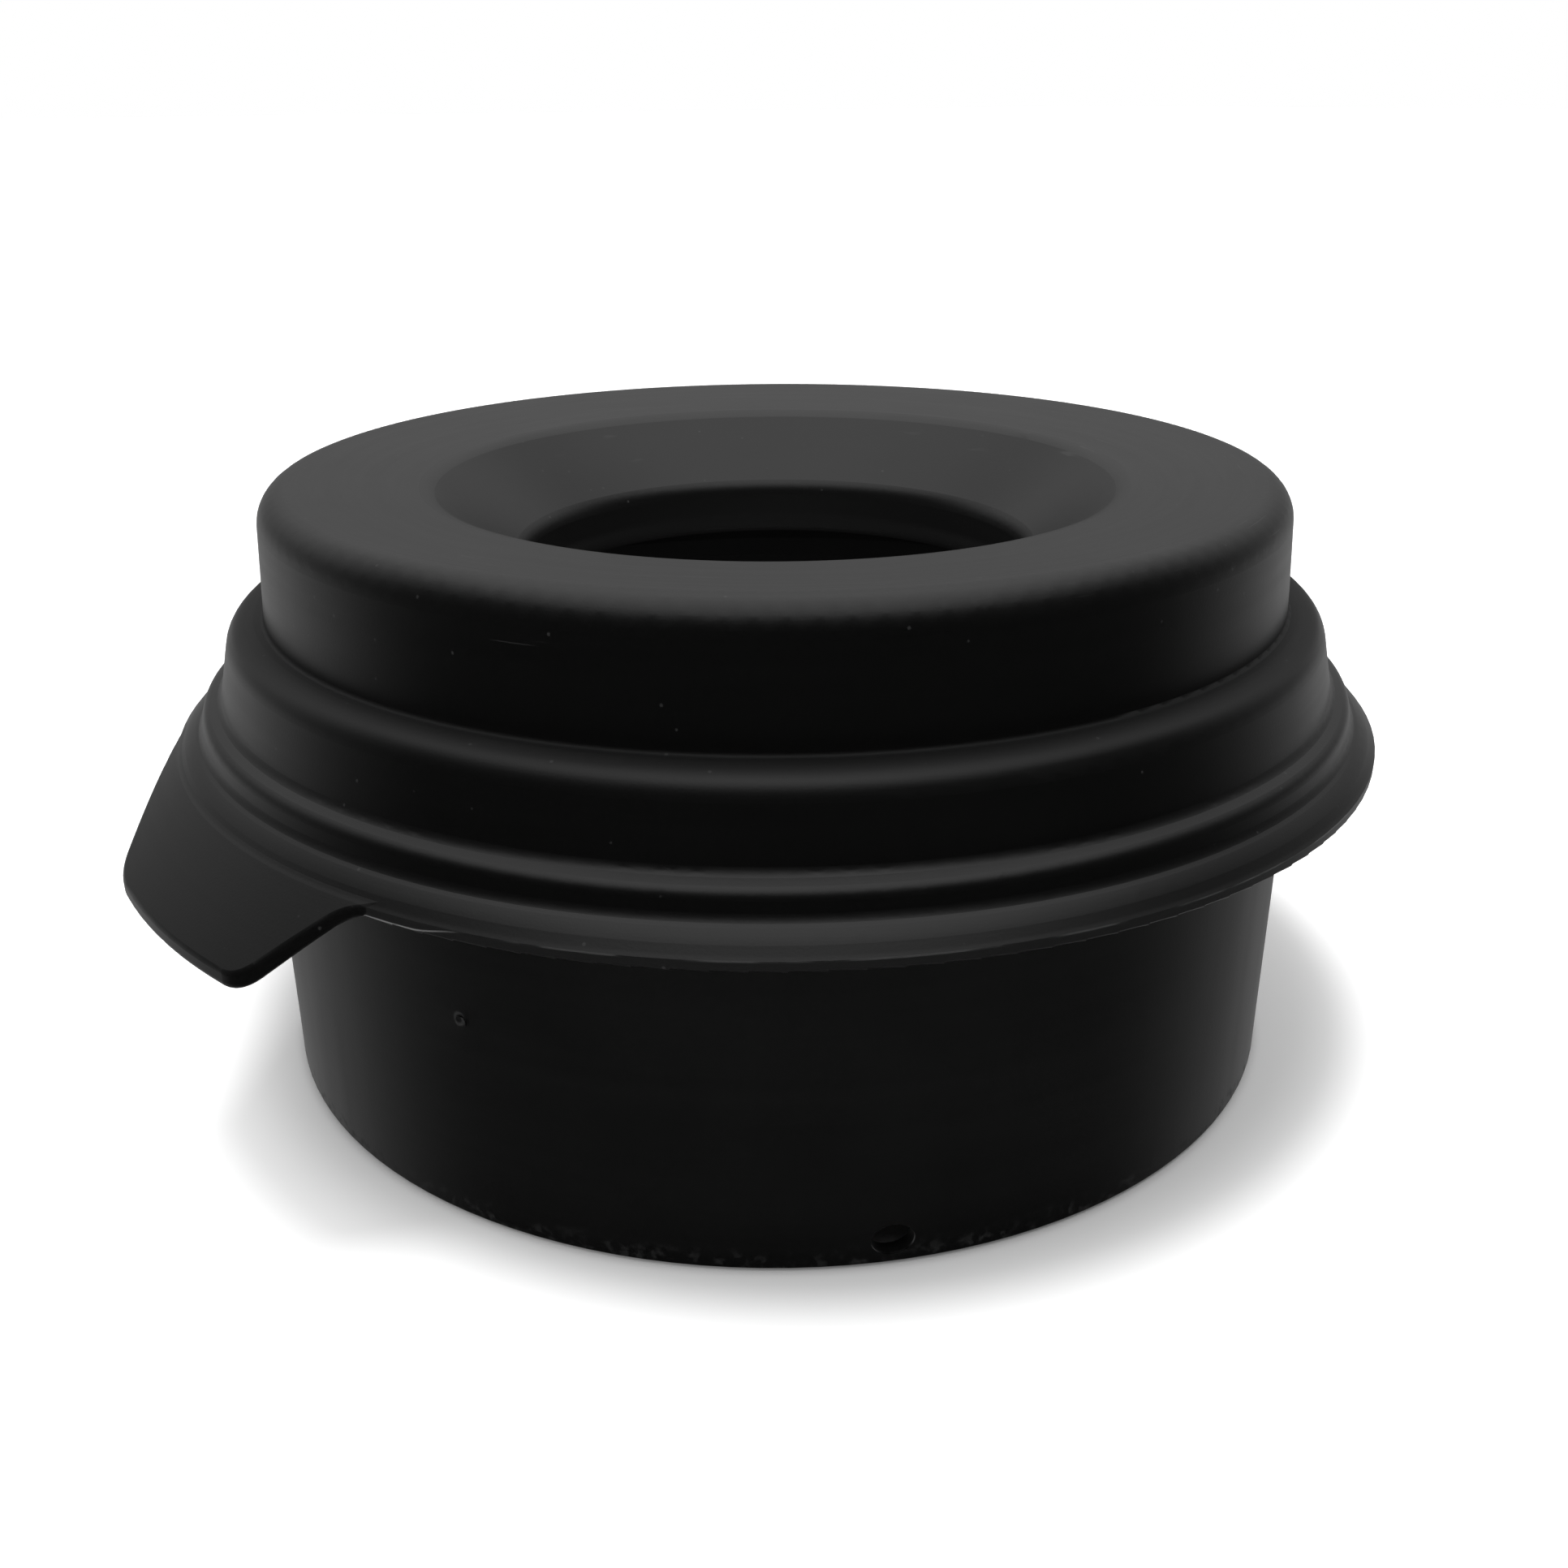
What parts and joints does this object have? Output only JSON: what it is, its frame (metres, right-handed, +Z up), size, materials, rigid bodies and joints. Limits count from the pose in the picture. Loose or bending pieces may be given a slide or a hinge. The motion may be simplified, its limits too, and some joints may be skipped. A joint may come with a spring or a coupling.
{
  "type": "spill-resistant water bowl",
  "caption": "Round anti-spill water bowl: a drinking bowl in an outer ring, under a pull-off funnel lid with a tab, a rim seal and rubber feet.",
  "frame": {"origin": "on the bowl's axis, in the plane the rubber feet stand on", "axes": "+Z up along the bowl's axis; the lid's pull tab points along -X"},
  "size_m": [0.2234, 0.2114, 0.1027],
  "materials": {
    "base_plastic": "black, satin",
    "lid_plastic": "black, soft satin",
    "seal_rubber": "soft matt silicone",
    "foot_rubber": "matt rubber"
  },
  "bodies": {
    "base": {"base_skirt": "base_plastic", "water_bowl": "base_plastic", "foot_1": "foot_rubber", "foot_2": "foot_rubber", "foot_3": "foot_rubber", "foot_4": "foot_rubber"},
    "seal": {"rim_seal": "seal_rubber"},
    "lid": {"lid": "lid_plastic"}
  },
  "joints": [
    {"name": "lid_lift", "type": "slide", "parent": "base", "child": "seal", "axis": [0, 0, 1], "range_m": [0, 0.06]},
    {"name": "lid_turn", "type": "hinge", "parent": "seal", "child": "lid", "pos_m": [0, 0, 0.0773], "axis": [0, 0, 1], "continuous": true}
  ]
}
